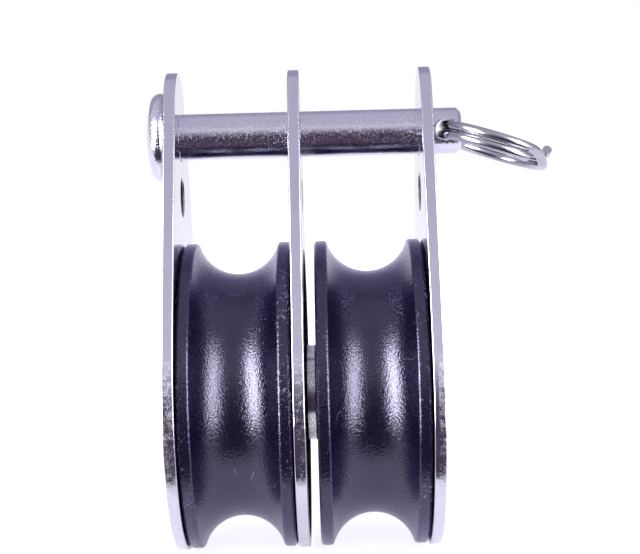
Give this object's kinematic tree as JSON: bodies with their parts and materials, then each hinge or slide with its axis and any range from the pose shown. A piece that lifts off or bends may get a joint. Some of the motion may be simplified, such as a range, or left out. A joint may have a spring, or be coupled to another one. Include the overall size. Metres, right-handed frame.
{
  "type": "double block",
  "caption": "Double rope block: two grooved sheaves side by side between polished stainless plates, with a clevis pin and split ring at the head.",
  "frame": {"origin": "on the clevis pin's axis, at the mid-plane of the centre plate", "axes": "+X along the clevis pin from its head to the split ring, +Z from the sheaves up to the pin, -Y towards the camera"},
  "size_m": [0.0527, 0.0404, 0.0626],
  "materials": {
    "polished_stainless": "mirror polished stainless sheet with fine scratches and rounded edges",
    "ground_stainless": "ground stainless bar, fine satin grain",
    "ring_wire": "bright drawn stainless wire",
    "black_acetal": "turned black acetal, semi-gloss, worn at the rims",
    "bush_bronze": "sintered bronze"
  },
  "bodies": {
    "frame": {"left_cheek_plate": "polished_stainless", "centre_plate": "polished_stainless", "right_cheek_plate": "polished_stainless", "axle_rivet": "polished_stainless", "left_axle_sleeve": "ground_stainless", "right_axle_sleeve": "ground_stainless", "axle_spacer": "ground_stainless"},
    "left_sheave": {"left_sheave": "black_acetal", "left_sheave_outer_bush": "bush_bronze", "left_sheave_inner_bush": "bush_bronze"},
    "right_sheave": {"right_sheave": "black_acetal", "right_sheave_inner_bush": "bush_bronze", "right_sheave_outer_bush": "bush_bronze"},
    "clevis_pin": {"clevis_pin": "ground_stainless"},
    "split_ring": {"split_ring": "ring_wire"}
  },
  "joints": [
    {"name": "left_sheave_spin", "type": "hinge", "parent": "frame", "child": "left_sheave", "pos_m": [-0.00785, 0, -0.034], "axis": [1, 0, 0], "continuous": true},
    {"name": "right_sheave_spin", "type": "hinge", "parent": "frame", "child": "right_sheave", "pos_m": [0.00905, 0, -0.034], "axis": [1, 0, 0], "continuous": true},
    {"name": "clevis_pin_turn", "type": "hinge", "parent": "frame", "child": "clevis_pin", "pos_m": [0, 0, 0], "axis": [1, 0, 0], "continuous": true},
    {"name": "split_ring_swing", "type": "hinge", "parent": "clevis_pin", "child": "split_ring", "pos_m": [0.01964, 0, 0], "axis": [0, -0.9986, 0.0523], "range_deg": [-73, 107]}
  ]
}
